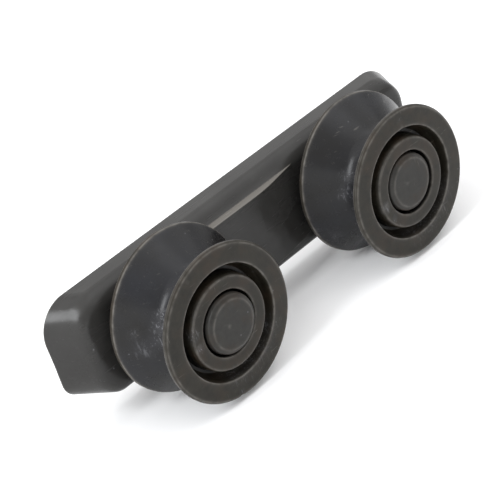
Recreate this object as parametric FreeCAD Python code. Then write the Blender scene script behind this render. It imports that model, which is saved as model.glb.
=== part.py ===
# Twin-wheel sliding door roller: a moulded carriage with two grooved wheels that turn on headed pins.
#
# Frame: millimetres, +Z up. X runs along the carriage and the rail. The flat back of the carriage
# lies in the plane Y = 0 and faces +Y; the wheels stand out towards -Y. The origin is on that back
# face, midway between the two wheels and level with their axes.

import FreeCAD, Part
import math
import os

V = FreeCAD.Vector

# ---- driving dimensions -----------------------------------------------------------------------
wheel_spacing = 47.0            # axle to axle along X

# carriage: a bar whose outline shrinks from its back face to its front face
left_end = -45.0
right_end = 45.5
left_lean = 4.1                 # how much nearer the middle each end is at the front face
right_lean = 3.5
end_flare = 0.35                # how far each end leans out between the parting line and the top
parting_height = 0.0            # height of the parting line across the ends
top_back = 10.3                 # height of the flat top above the axles
top_front = 7.8                 # height at which the top meets the front face
bottom_back = -8.0
bottom_front = -9.85
bar_depth = 6.3                 # distance from the back face to the front face
flat_top_depth = 3.4            # distance from the back face at which the top starts to fall
falling_sections = 6            # outlines that shape the falling part of the top
top_corner = 6.4                # corner radii of the outline, seen from the front
corner_shrink = 1.44            # how much the top corner's radius shrinks per mm of fall
bottom_corner_back = 3.5
bottom_corner_front = 6.5
front_edge_radius = 1.6

# raised pad on the front face, which fades out in a ramp before the right wheel
pad_depth = 8.0
pad_bottom = -6.7
pad_flat_end = 3.0
pad_ramp_end = 11.8
pad_ramp_blend = 25.0           # radius that eases the pad's face into the ramp
root_overlap = 2.0              # how deep the pad and the bosses are rooted in the bar

# bosses that carry the pins and space the wheels off the carriage
boss_radius = 7.0
boss_depth = 8.5
socket_floor = 2.5              # distance from the back face to the bottom of a pin's socket

# screw holes in the back face
screw_spacing = 70.0
screw_hole_radius = 1.7
screw_hole_depth = 4.5
screw_hole_chamfer = 0.4

# wheels, measured from each wheel's own front plane
wheel_front_depth = 22.1        # the left wheel's front plane, from the back face
end_play_shift = 0.75           # the right wheel sits this much further out on its pin
wheel_width = 13.4
rim_radius = 14.0
rim_bevel = 0.35
rim_face_fall = 0.1             # how far the rim's face falls back towards its bevel
rim_thickness = 0.95            # from the front plane to the start of the groove
flange_radius = 14.87
lip_width = 0.8                 # narrow band around the back flange
groove_apex_radius = 7.7        # where the lines of the groove's two walls would meet
groove_apex_setback = 4.3
groove_arc_radius = 3.0
hub_radius = 8.5
recess_radius = 10.3
recess_floor_radius = 9.3
recess_wall_radius = 10.1       # the recess wall is steep down to here, then slopes in
recess_wall_depth = 1.8
recess_depth = 3.2
hub_draft = 0.1                 # how much wider the hub is at the bottom of the recess
back_recess_radius = 11.0
back_recess_depth = 4.2
back_hub_radius = 8.0
back_draft = 0.35               # how much each wall of the back recess leans
head_bore_radius = 5.85
head_bore_depth = 4.4
running_clearance = 0.05
sharp_rounding = 0.2            # roundings of moulded edges and inside corners
edge_rounding = 0.3
corner_rounding = 0.6

# axle pins
pin_radius = 3.5
pin_head_radius = 5.4
pin_face_depth = 23.1           # the pin's face, from the back face of the carriage
pin_head_underside = 18.6
pin_head_rounding = 0.9


# ---- helpers ----------------------------------------------------------------------------------
def rounded_wire(corners):
    """Closed wire through corners given as (point, radius), with a tangent arc at each corner."""
    points = [point for point, radius in corners]
    count = len(points)
    starts, middles, ends = [], [], []
    for index, (point, radius) in enumerate(corners):
        to_last = (points[index - 1] - point).normalize()
        to_next = (points[(index + 1) % count] - point).normalize()
        half_angle = to_last.getAngle(to_next) / 2
        setback = radius / math.tan(half_angle)
        bisector = (to_last + to_next).normalize()
        starts.append(point + to_last * setback)
        ends.append(point + to_next * setback)
        middles.append(point + bisector * radius * (1 / math.sin(half_angle) - 1))
    edges = []
    for index in range(count):
        if corners[index][1] > 0:
            edges.append(Part.Arc(starts[index], middles[index], ends[index]).toShape())
        edges.append(Part.makeLine(ends[index], starts[(index + 1) % count]))
    return Part.Wire(edges)


def turned(corners, x):
    """Solid of revolution about the Y direction at x, from corners (radius, depth, rounding)."""
    outline = rounded_wire([(V(radius, -depth, 0), rounding) for radius, depth, rounding in corners])
    solid = Part.Face(outline).revolve(V(0, 0, 0), V(0, 1, 0), 360)
    solid.translate(V(x, 0, 0))
    return solid


def disc(x, radius, depth_from, depth_to):
    """Round solid along Y between two distances from the back face."""
    return Part.makeCylinder(radius, depth_to - depth_from, V(x, -depth_from, 0), V(0, -1, 0))


# ---- carriage ---------------------------------------------------------------------------------
def top_at(depth):
    """Height of the bar's top: flat from the back, then a curve that falls away to the front."""
    fall_depth = max(depth - flat_top_depth, 0)
    return top_back - (top_back - top_front) * (fall_depth / (bar_depth - flat_top_depth)) ** 2


def bar_section(depth):
    """Outline of the bar at one distance from its back face."""
    share = depth / bar_depth
    left = left_end + left_lean * share
    right = right_end - right_lean * share
    bottom = bottom_back + (bottom_front - bottom_back) * share
    top = top_at(depth)
    corner = top_corner - corner_shrink * (top_back - top)
    bottom_corner = bottom_corner_back + (bottom_corner_front - bottom_corner_back) * share
    return rounded_wire([
        (V(left, -depth, bottom), bottom_corner),
        (V(right, -depth, bottom), bottom_corner),
        (V(right, -depth, parting_height), 0),
        (V(right + end_flare, -depth, top), corner),
        (V(left - end_flare, -depth, top), corner),
        (V(left, -depth, parting_height), 0),
    ])


def bar():
    """Tapered bar: straight behind, and in front a top that curves down to the front face."""
    step = (bar_depth - flat_top_depth) / (falling_sections - 1)
    back = Part.makeLoft([bar_section(0), bar_section(flat_top_depth)], True, True)
    front = Part.makeLoft(
        [bar_section(flat_top_depth + step * index) for index in range(falling_sections)], True)
    front_edges = [edge for edge in front.Edges if lies_at_depth(edge, bar_depth)]
    return back.fuse(front.makeFillet(front_edge_radius, front_edges))


def lies_at_depth(edge, depth):
    """Whether an edge lies wholly at one distance from the back face."""
    box = edge.BoundBox
    return abs(box.YMin + depth) < 1e-4 and abs(box.YMax + depth) < 1e-4


def pad():
    """Raised pad from the left axle to the ramp, seen from above and raised to its height."""
    root = -bar_depth + root_overlap
    outline = rounded_wire([
        (V(-wheel_spacing / 2, root, pad_bottom), 0),
        (V(pad_ramp_end, root, pad_bottom), 0),
        (V(pad_ramp_end, -bar_depth, pad_bottom), 0),
        (V(pad_flat_end, -pad_depth, pad_bottom), pad_ramp_blend),
        (V(-wheel_spacing / 2, -pad_depth, pad_bottom), 0),
    ])
    return Part.Face(outline).extrude(V(0, 0, top_front - pad_bottom))


def screw_hole(x):
    """Blind pilot hole in the back face, with a chamfered mouth."""
    hole = disc(x, screw_hole_radius, -1.0, screw_hole_depth)
    mouth = Part.makeCone(screw_hole_radius + screw_hole_chamfer, screw_hole_radius,
                          screw_hole_chamfer, V(x, 0, 0), V(0, -1, 0))
    return hole.fuse(mouth)


def carriage_body():
    body = bar().fuse(pad())
    for side in (-1, 1):
        axle_x = side * wheel_spacing / 2
        body = body.fuse(disc(axle_x, boss_radius, bar_depth - root_overlap, boss_depth))
        body = body.cut(disc(axle_x, pin_radius, socket_floor, boss_depth + 1.0))
        body = body.cut(screw_hole(side * screw_spacing / 2))
    return body.removeSplitter()


# ---- wheels and pins --------------------------------------------------------------------------
def wheel(x, front_depth):
    """Grooved wheel with a cored front, a counterbored hub and a shallower core behind."""
    def at(radius, setback, rounding=0.0):
        return (radius, front_depth - setback, rounding)

    bore_radius = pin_radius + running_clearance
    web_back = wheel_width - back_recess_depth
    return turned([
        at(bore_radius, wheel_width, edge_rounding),
        at(bore_radius, head_bore_depth, sharp_rounding),
        at(head_bore_radius, head_bore_depth, edge_rounding),
        at(head_bore_radius, 0, sharp_rounding),
        at(hub_radius, 0, edge_rounding),
        at(hub_radius + hub_draft, recess_depth, sharp_rounding),
        at(recess_floor_radius, recess_depth, sharp_rounding),
        at(recess_wall_radius, recess_wall_depth, corner_rounding),
        at(recess_radius, 0, sharp_rounding),
        at(rim_radius - rim_bevel, rim_face_fall, sharp_rounding),
        at(rim_radius, rim_face_fall + rim_bevel, sharp_rounding / 2),
        at(rim_radius, rim_thickness, sharp_rounding),
        at(groove_apex_radius, groove_apex_setback, groove_arc_radius),
        at(flange_radius, wheel_width - lip_width, sharp_rounding),
        at(flange_radius, wheel_width, sharp_rounding),
        at(back_recess_radius, wheel_width, edge_rounding),
        at(back_recess_radius - back_draft, web_back, corner_rounding),
        at(back_hub_radius + back_draft, web_back, corner_rounding),
        at(back_hub_radius, wheel_width, edge_rounding),
    ], x)


def axle_pin(x):
    """Pin with a wide head that keeps the wheel on, pressed into its socket in the carriage."""
    return turned([
        (0, pin_face_depth, 0),
        (pin_head_radius, pin_face_depth, pin_head_rounding),
        (pin_head_radius, pin_head_underside, edge_rounding),
        (pin_radius, pin_head_underside, sharp_rounding),
        (pin_radius, socket_floor, edge_rounding),
        (0, socket_floor, 0),
    ], x)


# ---- write ------------------------------------------------------------------------------------
left_x = -wheel_spacing / 2
right_x = wheel_spacing / 2
parts = {
    "carriage_body": carriage_body(),
    "wheel_left": wheel(left_x, wheel_front_depth),
    "wheel_right": wheel(right_x, wheel_front_depth + end_play_shift),
    "axle_pin_left": axle_pin(left_x),
    "axle_pin_right": axle_pin(right_x),
}

os.makedirs("parts", exist_ok=True)
for name, shape in parts.items():
    shape.exportStep("parts/" + name + ".step")
    box = shape.BoundBox
    print(name, shape.isValid(), len(shape.Solids), round(shape.Volume, 1),
          [round(value, 2) for value in (box.XMin, box.XMax, box.YMin, box.YMax, box.ZMin, box.ZMax)])
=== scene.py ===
import math

import bmesh
import bpy
from mathutils import Matrix, Vector, noise


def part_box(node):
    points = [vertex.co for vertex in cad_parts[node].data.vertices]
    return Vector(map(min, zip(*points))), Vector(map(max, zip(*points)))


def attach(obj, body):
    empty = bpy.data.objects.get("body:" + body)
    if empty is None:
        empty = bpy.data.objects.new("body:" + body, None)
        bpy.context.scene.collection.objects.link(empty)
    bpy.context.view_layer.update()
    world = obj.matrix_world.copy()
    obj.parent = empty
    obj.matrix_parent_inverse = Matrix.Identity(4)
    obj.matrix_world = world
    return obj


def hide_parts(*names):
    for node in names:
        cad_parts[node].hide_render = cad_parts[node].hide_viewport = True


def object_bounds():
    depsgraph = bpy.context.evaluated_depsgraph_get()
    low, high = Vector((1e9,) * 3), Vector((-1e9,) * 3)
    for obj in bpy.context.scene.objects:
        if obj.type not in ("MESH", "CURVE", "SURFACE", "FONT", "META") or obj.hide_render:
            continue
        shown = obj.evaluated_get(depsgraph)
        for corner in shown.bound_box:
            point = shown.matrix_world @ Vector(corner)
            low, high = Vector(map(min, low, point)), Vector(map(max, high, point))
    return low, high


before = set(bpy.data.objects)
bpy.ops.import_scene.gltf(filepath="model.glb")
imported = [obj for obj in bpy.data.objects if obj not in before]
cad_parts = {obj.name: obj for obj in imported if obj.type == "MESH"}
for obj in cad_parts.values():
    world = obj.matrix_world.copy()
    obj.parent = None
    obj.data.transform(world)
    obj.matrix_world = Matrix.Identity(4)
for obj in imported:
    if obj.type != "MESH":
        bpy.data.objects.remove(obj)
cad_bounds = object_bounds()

mm = 0.001

# ---- colours (linear) -------------------------------------------------------------------------
carriage_grey = (0.0235, 0.0226, 0.0213)
carriage_light = (0.033, 0.0321, 0.0303)
wheel_grey = (0.0112, 0.0098, 0.0071)
wheel_light = (0.0224, 0.0196, 0.0143)
# bluish grey painted into the groove as its reflection of the cool lamps
groove_reflection_grey = (0.0172, 0.0177, 0.0205)
# darker colour painted into the bore, the recess and the pins' hidden sides as their shade
painted_shade_grey = (0.0062, 0.0058, 0.0052)
pin_grey = (0.0178, 0.017, 0.0154)
pin_light = (0.029, 0.0278, 0.025)
# pale colour of real wear and scratches, also used to paint highlights on the wheels' and pins' edges
# and on the pad's ledge
pale_wear_and_highlight = (0.160, 0.149, 0.134)
stain_brown = (0.031, 0.0205, 0.0128)
# whitish colour of dust and scuffs, also used to paint the groove's highlight near its neck
scuff_and_highlight_white = (0.22, 0.22, 0.235)
floor_white = (0.93, 0.93, 0.93)
room_white = (0.99, 0.99, 1.0)
plain_light = (1.0, 1.0, 1.0)
cool_light = (0.96, 0.98, 1.0)
warm_light = (1.0, 0.99, 0.97)

# ---- camera -----------------------------------------------------------------------------------
camera_azimuth = -36.77
camera_elevation = 28.79
camera_roll = 17.96
camera_distance = 0.3366
camera_lens = 137.1
camera_sensor = 36.0
camera_target = Vector((-0.0045, -0.0083, -0.0003))


def towards(azimuth, elevation):
    """Unit vector from the object to a place round it; azimuth 0 is straight in front."""
    azimuth, elevation = math.radians(azimuth), math.radians(elevation)
    return Vector((math.sin(azimuth) * math.cos(elevation),
                   -math.cos(azimuth) * math.cos(elevation),
                   math.sin(elevation)))


def facing(position, direction):
    """Transform of a camera or light at a position that looks along a direction."""
    return Matrix.Translation(position) @ direction.to_track_quat("-Z", "Y").to_matrix().to_4x4()


def make_camera():
    """Camera at the photograph's angle, rolled about the line of sight."""
    back = towards(camera_azimuth, camera_elevation)
    roll = Matrix.Rotation(math.radians(-camera_roll), 4, "Z")
    camera = bpy.data.objects.new("camera", bpy.data.cameras.new("camera"))
    camera.data.lens = camera_lens
    camera.data.sensor_width = camera_sensor
    camera.data.clip_start = 0.01
    camera.matrix_world = facing(camera_target + back * camera_distance, -back) @ roll
    bpy.context.scene.collection.objects.link(camera)
    bpy.context.scene.camera = camera


# ---- light and floor --------------------------------------------------------------------------
def add_softbox(name, azimuth, elevation, distance, width, height, power, colour):
    """Rectangular softbox that shines at the object."""
    direction = towards(azimuth, elevation)
    light = bpy.data.objects.new(name, bpy.data.lights.new(name, "AREA"))
    light.data.shape = "RECTANGLE"
    light.data.size = width
    light.data.size_y = height
    light.data.energy = power
    light.data.color = colour
    light.matrix_world = facing(direction * distance, -direction)
    bpy.context.scene.collection.objects.link(light)


def light_studio():
    """Pale room: a ceiling light, a softbox and a wall on the left, a card behind, one on the right."""
    world = bpy.data.worlds.new("room")
    bpy.context.scene.world = world
    world.use_nodes = True
    background = world.node_tree.nodes["Background"]
    background.inputs["Color"].default_value = (*room_white, 1)
    background.inputs["Strength"].default_value = 0.74
    add_softbox("ceiling", azimuth=0, elevation=90, distance=1.5, width=2.0, height=2.0,
                power=11.5, colour=plain_light)
    add_softbox("left", azimuth=-85, elevation=43.5, distance=0.8, width=0.3, height=0.42,
                power=3.9, colour=cool_light)
    add_softbox("wall", azimuth=-72, elevation=13, distance=0.8, width=0.9, height=0.34,
                power=1.0, colour=cool_light)
    add_softbox("card", azimuth=126, elevation=36, distance=0.8, width=1.0, height=0.6,
                power=0.85, colour=warm_light)
    add_softbox("right", azimuth=60, elevation=48, distance=0.8, width=0.8, height=0.6,
                power=1.3, colour=plain_light)
    bpy.context.scene.view_settings.view_transform = "Standard"


def make_floor():
    """Plain pale floor that the wheels stand on."""
    reach = 3.0                 # metres from the middle to each side
    height = cad_bounds[0].z
    mesh = bpy.data.meshes.new("floor")
    corners = [(-reach, -reach, height), (reach, -reach, height),
               (reach, reach, height), (-reach, reach, height)]
    mesh.from_pydata(corners, [], [(0, 1, 2, 3)])
    floor = bpy.data.objects.new("floor", mesh)
    bpy.context.scene.collection.objects.link(floor)
    material = bpy.data.materials.new("floor_paint")
    material.use_nodes = True
    shader = material.node_tree.nodes["Principled BSDF"]
    shader.inputs["Base Color"].default_value = (*floor_white, 1)
    shader.inputs["Roughness"].default_value = 0.9
    shader.inputs["Specular IOR Level"].default_value = 0.1
    mesh.materials.append(material)


# ---- node helpers -----------------------------------------------------------------------------
def add_node(tree, kind, settings=None, **inputs):
    """New node; an input is a number, a colour, or another node's output."""
    new = tree.nodes.new(kind)
    for name, value in (settings or {}).items():
        setattr(new, name, value)
    for name, value in inputs.items():
        connect(tree, value, new.inputs[name.replace("_", " ")])
    return new


def connect(tree, value, socket):
    """Link an output to a socket, or set the socket's own value."""
    if isinstance(value, bpy.types.NodeSocket):
        tree.links.new(value, socket)
    else:
        socket.default_value = value


def calculate(tree, operation, first, second=0.0):
    """Output of a Math node."""
    new = tree.nodes.new("ShaderNodeMath")
    new.operation = operation
    connect(tree, first, new.inputs[0])
    connect(tree, second, new.inputs[1])
    return new.outputs[0]


def mix(tree, kind, share, first, second):
    """Output of a Mix node that goes from the first value to the second."""
    new = tree.nodes.new("ShaderNodeMix")
    new.data_type = kind
    ends = [socket for socket in new.inputs if socket.type == kind and socket.name in ("A", "B")]
    connect(tree, share, new.inputs[0])
    connect(tree, first, ends[0])
    connect(tree, second, ends[1])
    return [socket for socket in new.outputs if socket.type == kind][0]


def mix_colours(tree, share, first, second):
    """Colour between two, each a tuple or another node's output."""
    ends = [end if isinstance(end, bpy.types.NodeSocket) else (*end, 1) for end in (first, second)]
    return mix(tree, "RGBA", share, *ends)


def remap(tree, value, low, high, out_low=0.0, out_high=1.0):
    """Value stretched from one range to another and held inside it."""
    new = add_node(tree, "ShaderNodeMapRange", Value=value)
    new.inputs["From Min"].default_value = low
    new.inputs["From Max"].default_value = high
    new.inputs["To Min"].default_value = out_low
    new.inputs["To Max"].default_value = out_high
    return new.outputs["Result"]


def noise_at(tree, coordinates, scale, detail=3.0, roughness=0.55):
    """Noise whose features are about one over the scale across."""
    return add_node(tree, "ShaderNodeTexNoise", Vector=coordinates, Scale=scale, Detail=detail,
                    Roughness=roughness).outputs["Fac"]


def stretched(tree, coordinates, scale, turn=(0, 0, 0)):
    """Coordinates turned and scaled by different amounts along their axes."""
    return add_node(tree, "ShaderNodeMapping", Vector=coordinates, Scale=scale,
                    Rotation=tuple(math.radians(angle) for angle in turn)).outputs["Vector"]


def scratches(tree, coordinates, scale, turn, low, high):
    """Sparse thin streaks, as a mask."""
    lines = noise_at(tree, stretched(tree, coordinates, scale, turn), 1.0, 2.0)
    return remap(tree, lines, low, high)


def specks(tree, coordinates, scale, size, share):
    """Scattered small dots, as a mask; the share is how many cells hold one."""
    cells = add_node(tree, "ShaderNodeTexVoronoi", Vector=coordinates, Scale=scale)
    dots = remap(tree, cells.outputs["Distance"], size, size * 0.55)
    chosen = add_node(tree, "ShaderNodeSeparateColor", Color=cells.outputs["Color"]).outputs[0]
    return calculate(tree, "MULTIPLY", dots, calculate(tree, "LESS_THAN", chosen, share))


def bump(tree, height, distance, strength, below=None):
    """Output of a Bump node, on top of another one if it is given."""
    new = add_node(tree, "ShaderNodeBump", Height=height, Distance=distance, Strength=strength)
    if below is not None:
        tree.links.new(below, new.inputs["Normal"])
    return new.outputs["Normal"]


def attribute(tree, name, output="Fac"):
    """Output of an Attribute node that reads what turn_outline stores on its points."""
    return add_node(tree, "ShaderNodeAttribute", {"attribute_name": name}).outputs[output]


def new_material(name):
    """Material with a Principled shader, and its node tree."""
    material = bpy.data.materials.new(name)
    material.use_nodes = True
    return material, material.node_tree, material.node_tree.nodes["Principled BSDF"]


# ---- materials --------------------------------------------------------------------------------
bar_depth = 6.3                 # mm from the carriage's back face to its front face
bar_curve_start = 3.4           # mm from the back face at which the bar's top starts to fall
pad_top = 7.8                   # height of the raised pad's top above the axles, in mm


def edge_mask(tree, radius):
    """Mask of the edges that a bevel of this radius would round."""
    rounded = add_node(tree, "ShaderNodeBevel", {"samples": 6}, Radius=radius).outputs["Normal"]
    plain = add_node(tree, "ShaderNodeNewGeometry").outputs["Normal"]
    agreement = add_node(tree, "ShaderNodeVectorMath", {"operation": "DOT_PRODUCT"})
    tree.links.new(rounded, agreement.inputs[0])
    tree.links.new(plain, agreement.inputs[1])
    return remap(tree, agreement.outputs["Value"], 0.96, 0.84)


def softened_front(tree, depth_axis):
    """Normal of the carriage, eased over the edges round the bar's front face."""
    near_front = calculate(
        tree, "MULTIPLY",
        remap(tree, depth_axis, -bar_curve_start * mm, -(bar_curve_start + 1.6) * mm),
        remap(tree, depth_axis, -(bar_depth + 0.06) * mm, -(bar_depth + 0.02) * mm))
    plain = add_node(tree, "ShaderNodeNewGeometry").outputs["Normal"]
    eased = add_node(tree, "ShaderNodeBevel", {"samples": 16}, Radius=2.2 * mm).outputs["Normal"]
    return mix(tree, "VECTOR", near_front, plain, eased)


def carriage_plastic():
    """Satin grey plastic: flow marks, rubbed edges, a painted highlight along the top of the pad and a
    few fine scratches.
    """
    material, tree, shader = new_material("carriage_plastic")
    place = add_node(tree, "ShaderNodeTexCoord").outputs["Object"]
    mottle = noise_at(tree, place, 130, 4.0)
    flow = noise_at(tree, stretched(tree, place, (60, 500, 500)), 1.0, 3.0)
    grain = noise_at(tree, place, 2600, 2.0)
    scratch = calculate(
        tree, "MAXIMUM",
        scratches(tree, place, (160, 900, 2600), (0, 38, 0), 0.70, 0.76),
        scratches(tree, place, (220, 900, 2400), (0, -62, 15), 0.71, 0.77))
    dust = specks(tree, place, 420, 0.10, 0.02)

    axes = add_node(tree, "ShaderNodeSeparateXYZ", Vector=place)
    # mask of the pad's ledge, where a highlight is painted in pale colour
    ledge_painted_highlight = calculate(
        tree, "MULTIPLY",
        remap(tree, axes.outputs["Y"], -bar_depth * mm, -(bar_depth + 0.1) * mm),
        remap(tree, axes.outputs["Z"], (pad_top - 0.14) * mm, (pad_top - 0.04) * mm))
    pale_edges = calculate(tree, "MULTIPLY", edge_mask(tree, 0.35 * mm),
                       remap(tree, mottle, 0.3, 0.65, 0.35, 1.0))

    colour = mix_colours(tree, remap(tree, mottle, 0.35, 0.7), carriage_grey, carriage_light)
    colour = mix_colours(tree, calculate(tree, "MULTIPLY", ledge_painted_highlight, 0.80), colour, pale_wear_and_highlight)
    colour = mix_colours(tree, calculate(tree, "MULTIPLY", pale_edges, 0.45), colour, pale_wear_and_highlight)
    colour = mix_colours(tree, calculate(tree, "MULTIPLY", scratch, 0.09), colour, pale_wear_and_highlight)
    colour = mix_colours(tree, calculate(tree, "MULTIPLY", dust, 0.5), colour, scuff_and_highlight_white)
    tree.links.new(colour, shader.inputs["Base Color"])

    shader.inputs["Specular IOR Level"].default_value = 0.28
    roughness = remap(tree, flow, 0.3, 0.7, 0.20, 0.30)
    roughness = calculate(tree, "ADD", roughness, calculate(tree, "MULTIPLY", scratch, 0.12))
    tree.links.new(roughness, shader.inputs["Roughness"])

    normal = bump(tree, flow, 0.05 * mm, 0.25, softened_front(tree, axes.outputs["Y"]))
    normal = bump(tree, grain, 0.01 * mm, 0.35, normal)
    normal = bump(tree, scratch, -0.012 * mm, 0.6, normal)
    tree.links.new(normal, shader.inputs["Normal"])
    return material


def turned_plastic(name, grey, light):
    """Grey plastic of a turned piece: mottled faces, edges pale with wear and a painted highlight,
    painted shade in the recesses, a groove with a painted bluish reflection, and scuffs that also paint
    its highlight.
    """
    material, tree, shader = new_material(name)
    place = add_node(tree, "ShaderNodeTexCoord").outputs["Object"]
    around = attribute(tree, "around", "Vector")
    wear = attribute(tree, "wear")
    groove = attribute(tree, "groove")
    recess = attribute(tree, "recess")
    scuff_and_highlight = attribute(tree, "scuff_and_highlight")

    cloud = noise_at(tree, place, 110, 2.0)
    mottle = noise_at(tree, place, 520, 5.0, 0.65)
    grain = noise_at(tree, place, 3200, 2.0)
    rings = noise_at(tree, stretched(tree, around, (0.9, 0.9, 5.0)), 1.0, 4.0, 0.6)
    stain = remap(tree, noise_at(tree, place, 190, 3.0, 0.6), 0.48, 0.66, 0.0, 0.55)
    scratch = calculate(
        tree, "MAXIMUM",
        scratches(tree, place, (240, 800, 2600), (0, 25, 0), 0.70, 0.77),
        scratches(tree, place, (2400, 900, 260), (0, 35, 20), 0.71, 0.78))
    dust = specks(tree, place, 700, 0.13, 0.05)

    patchy = remap(tree, noise_at(tree, place, 700, 3.0), 0.35, 0.60, 0.35, 1.0)
    pale_edges = calculate(tree, "MULTIPLY", wear, patchy)
    streaks = scratches(tree, place, (3200, 2600, 420), (25, -40, 0), 0.56, 0.68)
    flecks = remap(tree, noise_at(tree, place, 2300, 4.0, 0.75), 0.57, 0.66)
    # the least value of 0.13 spreads a whitish haze over each scuff, which paints the highlight in the
    # groove
    marks = calculate(tree, "MAXIMUM", calculate(tree, "MAXIMUM", streaks, flecks), 0.13)
    scuff_and_highlight_marks = calculate(tree, "MULTIPLY", scuff_and_highlight, marks)

    colour = mix_colours(tree, remap(tree, mottle, 0.32, 0.68), grey, light)
    colour = mix_colours(tree, stain, colour, stain_brown)
    # the groove's bluish grey is a painted reflection, mottled by the cloud noise
    smooth = mix_colours(tree, remap(tree, cloud, 0.3, 0.7, 0.0, 0.6), groove_reflection_grey, grey)
    colour = mix_colours(tree, groove, colour, smooth)
    # painted shade in the bore, the recess and on hidden sides
    colour = mix_colours(tree, recess, colour, painted_shade_grey)
    colour = mix_colours(tree, calculate(tree, "MULTIPLY", scratch, 0.35), colour, pale_wear_and_highlight)
    # pale edges: real wear plus a highlight painted along the turned edges
    colour = mix_colours(tree, calculate(tree, "MULTIPLY", pale_edges, 0.9), colour, pale_wear_and_highlight)
    colour = mix_colours(tree, calculate(tree, "MULTIPLY", dust, 0.25), colour, scuff_and_highlight_white)
    colour = mix_colours(tree, scuff_and_highlight_marks, colour, scuff_and_highlight_white)
    tree.links.new(colour, shader.inputs["Base Color"])

    shader.inputs["Specular IOR Level"].default_value = 0.23
    roughness = remap(tree, mottle, 0.3, 0.7, 0.34, 0.46)
    roughness = calculate(tree, "SUBTRACT", roughness, calculate(tree, "MULTIPLY", groove, 0.15))
    roughness = calculate(tree, "ADD", roughness, calculate(tree, "MULTIPLY", scuff_and_highlight_marks, 0.3))
    tree.links.new(roughness, shader.inputs["Roughness"])

    normal = bump(tree, rings, 0.02 * mm, 0.3)
    normal = bump(tree, mottle, 0.012 * mm, 0.3, normal)
    normal = bump(tree, grain, 0.010 * mm, 0.4, normal)
    normal = bump(tree, scratch, -0.012 * mm, 0.6, normal)
    tree.links.new(normal, shader.inputs["Normal"])
    return material


# ---- turned pieces ----------------------------------------------------------------------------
# Lengths are in mm. A radius is from the piece's axis and a setback is from its front plane.
segments = 240                  # steps of a whole turn
arc_step = math.radians(9)      # most that an outline turns between two points of a rounding
line_step = 0.5                 # between points along a straight stretch
edge_steps = (0.07, 0.16, 0.3)  # from an edge to the first points beside it, which show its wear and painted edge highlight
wear_fade = 0.13                # over which the rubbing and painted highlight of an edge fade
worn_depth = 0.045              # that full wear takes off an edge at the most
worn_waves = 0.9                # scale of the noise that varies this along the edge
worn_shift = 7.0                # picks the part of that noise that is used
dent_wear = 0.35                # how rubbed the middle of a dent is
ring_spread = 4.0               # radius of the circle round which the noise of the rings is read


class Outline:
    """Outline of a turned piece: points (radius, setback), each with its wear and painted edge
    highlight, and its zone.
    """

    def __init__(self):
        self.points, self.wear, self.zone = [], [], []

    def add(self, point, wear, zone):
        """One more point."""
        self.points.append(point)
        self.wear.append(wear)
        self.zone.append(zone)

    def add_line(self, start, end, wears, zone):
        """Points between two ends, closer together beside the ends."""
        length = (end - start).length
        steps = max(1, math.ceil(length / line_step))
        near = [offset / length for offset in edge_steps if offset < length / 2]
        shares = sorted({index / steps for index in range(1, steps)}
                        | set(near) | {1 - share for share in near})
        for share in shares:
            fade = max(wears[0] * math.exp(-share * length / wear_fade),
                       wears[1] * math.exp(-(1 - share) * length / wear_fade))
            self.add(start.lerp(end, share), fade, zone)


def corner_arc(last, corner, following, rounding):
    """Points of the arc that rounds a corner between two others."""
    to_last = (last - corner).normalized()
    to_next = (following - corner).normalized()
    half = to_last.angle(to_next) / 2
    centre = corner + (to_last + to_next).normalized() * rounding / math.sin(half)
    arm = corner + to_last * rounding / math.tan(half) - centre
    turn = math.pi - 2 * half
    side = 1 if to_last.x * to_next.y - to_last.y * to_next.x < 0 else -1
    steps = max(3, math.ceil(turn / arc_step))
    angles = [side * turn * step / steps for step in range(steps + 1)]
    return [centre + Matrix.Rotation(angle, 2) @ arm for angle in angles]


def rounded_outline(corners, closed):
    """Outline through corners (radius, setback, rounding, wear and painted edge highlight, zone of the
    stretch after it).
    """
    count = len(corners)
    places = [Vector(corner[:2]) for corner in corners]
    arcs = []
    for index, (place, corner) in enumerate(zip(places, corners)):
        rounding = corner[2]
        is_end = not closed and index in (0, count - 1)
        if rounding == 0 or is_end:
            arcs.append([place])
        else:
            arcs.append(corner_arc(places[index - 1], place, places[(index + 1) % count], rounding))
    outline = Outline()
    for index, corner in enumerate(corners):
        wear, zone = corner[3:]
        for point in arcs[index]:
            outline.add(point, wear, zone)
        if closed or index < count - 1:
            following = (index + 1) % count
            wears = (wear, corners[following][3])
            outline.add_line(arcs[index][-1], arcs[following][0], wears, zone)
    return outline


def outline_normals(points, closed):
    """Outward normals of an outline that is listed with its solid on the left."""
    count = len(points)
    normals = []
    for index in range(count):
        last = points[index - 1] if closed or index else points[index]
        following = points[(index + 1) % count] if closed or index < count - 1 else points[index]
        along = (following - last).normalized()
        normals.append(Vector((along.y, -along.x)))
    return normals


def distances_along(points):
    """Distance of each point of an outline from the first, along the outline."""
    distances = [0.0]
    for last, point in zip(points, points[1:]):
        distances.append(distances[-1] + (point - last).length)
    return distances


def sink_and_wear(place, wear, axis_x, dents):
    """How far a place is worn or dented in, and how rubbed it is, which also sets how much edge
    highlight is painted on it.
    """
    wobble = noise.noise(place * worn_waves + Vector((axis_x, 0, worn_shift)))
    sink = wear * worn_depth * max(0.0, wobble)
    for spot, size, depth in dents:
        nearness = 1 - (place - spot).length / size
        if nearness > 0:
            sink += depth * nearness ** 2
            wear = max(wear, dent_wear * nearness)
    return sink, wear


def scuff_and_highlight_at(place, scuffs_and_highlights):
    """How scuffed a place is, and how much highlight is painted on it: the most that any of the scuffs
    gives it.
    """
    strengths = [strength * (1 - (place - spot).length / size) for spot, size, strength in scuffs_and_highlights]
    return max([0.0, *strengths])


def ring_faces(count, closed):
    """Faces between the segments of a turned piece, whose outline has this many points."""
    stretches = count if closed else count - 1
    faces = []
    for segment in range(segments):
        here, beyond = segment * count, (segment + 1) % segments * count
        for index in range(stretches):
            following = (index + 1) % count
            faces.append((here + index, here + following, beyond + following, beyond + index))
    return faces


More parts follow.
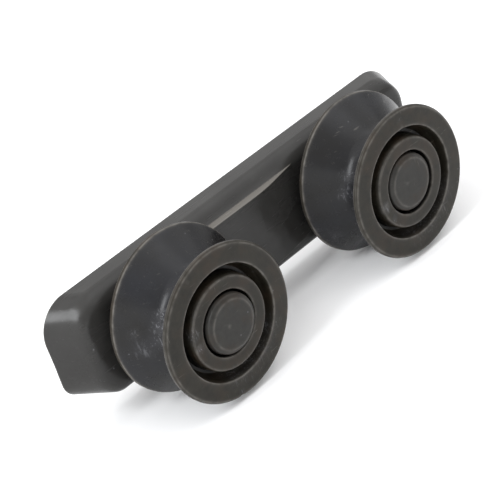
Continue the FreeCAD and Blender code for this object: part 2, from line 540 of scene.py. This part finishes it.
def turn_outline(name, corners, centre, closed, dents=(), scuffs_and_highlights=()):
    """Turned piece about the Y direction.

    A dent is (spot, size, depth) and a scuff, which may also paint a highlight, is (spot, size,
    strength).
    """
    outline = rounded_outline(corners, closed)
    normals = outline_normals(outline.points, closed)
    distances = distances_along(outline.points)
    vertices, arounds = [], []
    masks = {"wear": [], "groove": [], "recess": [], "scuff_and_highlight": []}
    for segment in range(segments):
        angle = 2 * math.pi * segment / segments
        across, up = math.cos(angle), math.sin(angle)
        for index, point in enumerate(outline.points):
            place = Vector((point.x * across, point.y, point.x * up))
            sink, wear = sink_and_wear(place, outline.wear[index], centre[0], dents)
            moved = point - normals[index] * sink
            vertices.append(((centre[0] + moved.x * across) * mm,
                             (centre[1] + moved.y) * mm,
                             (centre[2] + moved.x * up) * mm))
            arounds.extend((across * ring_spread, up * ring_spread, distances[index]))
            masks["wear"].append(wear)
            masks["groove"].append(float(outline.zone[index] == "groove"))
            masks["recess"].append(float(outline.zone[index] == "recess"))
            masks["scuff_and_highlight"].append(scuff_and_highlight_at(place, scuffs_and_highlights))
    mesh = bpy.data.meshes.new(name)
    mesh.from_pydata(vertices, [], ring_faces(len(outline.points), closed))
    for label, values in masks.items():
        mesh.attributes.new(label, "FLOAT", "POINT").data.foreach_set("value", values)
    mesh.attributes.new("around", "FLOAT_VECTOR", "POINT").data.foreach_set("vector", arounds)
    tidy_mesh(mesh)
    piece = bpy.data.objects.new(name, mesh)
    bpy.context.scene.collection.objects.link(piece)
    return piece


def tidy_mesh(mesh):
    """Merge the points that meet on the axis, turn the faces outwards and shade smooth."""
    work = bmesh.new()
    work.from_mesh(mesh)
    bmesh.ops.remove_doubles(work, verts=work.verts, dist=1e-7)
    bmesh.ops.recalc_face_normals(work, faces=work.faces)
    work.to_mesh(mesh)
    work.free()
    mesh.shade_smooth()


def measure_node(node):
    """Centre of a node's front plane, its radius and its length along Y, in mm."""
    low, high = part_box(node)
    centre = ((low.x + high.x) / 2 / mm, low.y / mm, (low.z + high.z) / 2 / mm)
    return centre, (high.z - low.z) / 2 / mm, (high.y - low.y) / mm


def on_piece(radius, setback, clock):
    """Place on a turned piece; the clock angle is in degrees from +X, seen from the front."""
    angle = math.radians(clock)
    return Vector((radius * math.cos(angle), setback, radius * math.sin(angle)))


# ---- wheels -----------------------------------------------------------------------------------
flange_lead = 0.87              # how much larger the back flange's radius is than the rim's
lip_width = 0.8                 # narrow band round the back flange
rim_bevel = 0.35
rim_fall = 0.1                  # how far the rim's face falls back towards its bevel
rim_thickness = 0.95            # from the front plane to the start of the groove
groove_drop = 6.3               # from the rim's radius in to where the groove's walls would meet
groove_setback = 4.3
groove_rounding = 3.0
recess_radius = 10.3
recess_floor_radius = 9.3
recess_wall_radius = 10.1       # the recess's outer wall is steep down to here, then slopes in
recess_wall_depth = 1.8
recess_depth = 3.2
hub_radius = 8.5
hub_taper = 0.3                 # how much smaller the hub is at its face
hub_taper_depth = 0.7
hub_lit_depth = 2.1             # how far down its side the hub keeps the colour of the faces before the painted shade begins
hub_draft = 0.1                 # how much wider the hub is at the bottom of the recess
counterbore_radius = 5.85
counterbore_depth = 4.4
pin_hole_radius = 3.55
back_recess_radius = 11.0
back_recess_depth = 4.2
back_hub_radius = 8.0
back_draft = 0.35               # how much each wall of the back recess leans


def wheel_corners(flange_radius, width):
    """Corners (radius, setback, rounding, wear and painted edge highlight, zone) round a wheel's
    section.
    """
    rim = flange_radius - flange_lead
    web_back = width - back_recess_depth
    return [
        # the recess zone paints shade into the bore, the hub's lower side and the recess floor
        (pin_hole_radius, width, 0.3, 0.0, "recess"),
        (pin_hole_radius, counterbore_depth, 0.2, 0.0, "recess"),
        (counterbore_radius, counterbore_depth, 0.3, 0.0, "recess"),
        (counterbore_radius, 0.0, 0.2, 0.4, "face"),
        (hub_radius - hub_taper, 0.0, 0.25, 0.4, "face"),
        (hub_radius, hub_taper_depth, 0.5, 0.0, "face"),
        (hub_radius + hub_draft / 2, hub_lit_depth, 0, 0.0, "recess"),
        (hub_radius + hub_draft, recess_depth, 0.2, 0.0, "recess"),
        (recess_floor_radius, recess_depth, 0.2, 0.0, "face"),
        (recess_wall_radius, recess_wall_depth, 0.6, 0.0, "face"),
        (recess_radius, 0.0, 0.15, 0.6, "face"),
        (rim - rim_bevel, rim_fall, 0.2, 0.5, "face"),
        (rim, rim_fall + rim_bevel, 0.1, 0.3, "face"),
        (rim, rim_thickness, 0.2, 0.6, "groove"),
        (rim - groove_drop, groove_setback, groove_rounding, 0.0, "groove"),
        (flange_radius, width - lip_width, 0.2, 0.8, "face"),
        (flange_radius, width, 0.2, 0.2, "face"),
        (back_recess_radius, width, 0.3, 0.1, "face"),
        (back_recess_radius - back_draft, web_back, 0.6, 0.0, "face"),
        (back_hub_radius + back_draft, web_back, 0.6, 0.0, "face"),
        (back_hub_radius, width, 0.3, 0.1, "face"),
    ]


def make_wheel(node, body, material, dents, scuffs_and_highlights):
    """One grooved wheel, with its dents, and its scuffs, some of which paint highlights."""
    centre, flange_radius, width = measure_node(node)
    wheel = turn_outline(node + "_moulding", wheel_corners(flange_radius, width), centre, True,
                         dents, scuffs_and_highlights)
    wheel.data.materials.append(material)
    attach(wheel, body)
    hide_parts(node)


def make_wheels():
    """Both wheels; their marks are placed one by one."""
    material = turned_plastic("wheel_plastic", wheel_grey, wheel_light)
    # pale streaks on the recess's lower wall: its striations plus painted light where the wall faces up
    recess_streaks_and_painted_light = [(on_piece(10.1, 1.6, clock), 3.4, 0.40) for clock in (262, 282, 302, 322)]
    make_wheel(
        "wheel_left", "left_wheel", material,
        dents=[(on_piece(7.3, 0, 181), 0.8, 0.12), (on_piece(12.9, 0, 115), 0.5, 0.1),
               (on_piece(13.9, 0.5, 262), 0.7, 0.15), (on_piece(13.9, 0.5, 208), 0.5, 0.1),
               (on_piece(13.9, 0.4, 150), 0.5, 0.1), (on_piece(14.8, 12.8, 140), 0.6, 0.1)],
        # the first groove scuffs, near the neck, paint its highlight as well as scuffs
        scuffs_and_highlights=[(on_piece(9.6, 6.3, 148), 1.8, 0.7), (on_piece(9.7, 6.6, 160), 2.0, 0.9),
                (on_piece(10.0, 7.0, 174), 2.2, 0.5), (on_piece(11.8, 9.0, 180), 2.6, 0.35),
                (on_piece(12.6, 10.0, 166), 1.4, 0.3), (on_piece(8.3, 0.2, 163), 1.9, 0.6),
                (on_piece(7.3, 0, 184), 1.3, 0.7), (on_piece(12.8, 0, 262), 0.9, 0.35),
                *recess_streaks_and_painted_light])
    make_wheel(
        "wheel_right", "right_wheel", material,
        dents=[(on_piece(7.0, 0, 187), 0.9, 0.15), (on_piece(8.3, 0, 191), 0.6, 0.12),
               (on_piece(10.4, 0, 82), 0.7, 0.12), (on_piece(13.9, 0.5, 215), 0.5, 0.1)],
        # the first two groove scuffs, near the neck, paint its highlight as well as scuffs
        scuffs_and_highlights=[(on_piece(9.6, 6.4, 150), 2.0, 0.6), (on_piece(9.8, 6.8, 168), 2.0, 0.6),
                (on_piece(13.2, 10.7, 210), 1.8, 0.35), (on_piece(7.5, 0, 189), 1.5, 0.9),
                (on_piece(7.4, 0, 215), 0.9, 0.7), (on_piece(12.0, 0, 84), 0.9, 0.3),
                *recess_streaks_and_painted_light])


# ---- axle pins --------------------------------------------------------------------------------
shank_radius = 3.5
head_depth = 4.5
face_margin = 0.95              # from the flat face's edge out to the head's side
crown_margin = 0.15             # from the crown's edge out to the head's side
crown_depth = 0.45              # how far the head falls away from its flat face to that edge
crown_end = 1.2                 # setback at which the head has its full radius


def pin_corners(head_radius, length):
    """Corners round half a pin's section, from the middle of its face to the middle of its end."""
    return [
        (0.0, 0.0, 0, 0.0, "face"),
        (head_radius - face_margin, 0.0, 0.35, 0.35, "face"),
        (head_radius - crown_margin, crown_depth, 0.5, 0.05, "face"),
        # from here on the head's side and the shank get painted shade
        (head_radius, crown_end, 0.4, 0.0, "recess"),
        (head_radius, head_depth, 0.3, 0.0, "recess"),
        (shank_radius, head_depth, 0.2, 0.0, "recess"),
        (shank_radius, length, 0.3, 0.0, "recess"),
        (0.0, length, 0, 0.0, "recess"),
    ]


def make_pins():
    """Both axle pins, each with a small gate mark on its face."""
    material = turned_plastic("pin_plastic", pin_grey, pin_light)
    gate_mark = [(on_piece(0.9, 0, 170), 0.55, 0.10), (on_piece(1.7, 0, 152), 0.35, 0.08)]
    for side in ("left", "right"):
        node = "axle_pin_" + side
        centre, head_radius, length = measure_node(node)
        pin = turn_outline(node + "_moulding", pin_corners(head_radius, length), centre, False,
                           gate_mark)
        pin.data.materials.append(material)
        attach(pin, "carriage")
        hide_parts(node)


# ---- scene ------------------------------------------------------------------------------------
def finish_carriage():
    """Give the carriage, which keeps its CAD shape, its material."""
    material = carriage_plastic()
    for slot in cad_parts["carriage_body"].material_slots:
        slot.material = material


make_camera()
light_studio()
make_floor()
finish_carriage()
make_wheels()
make_pins()
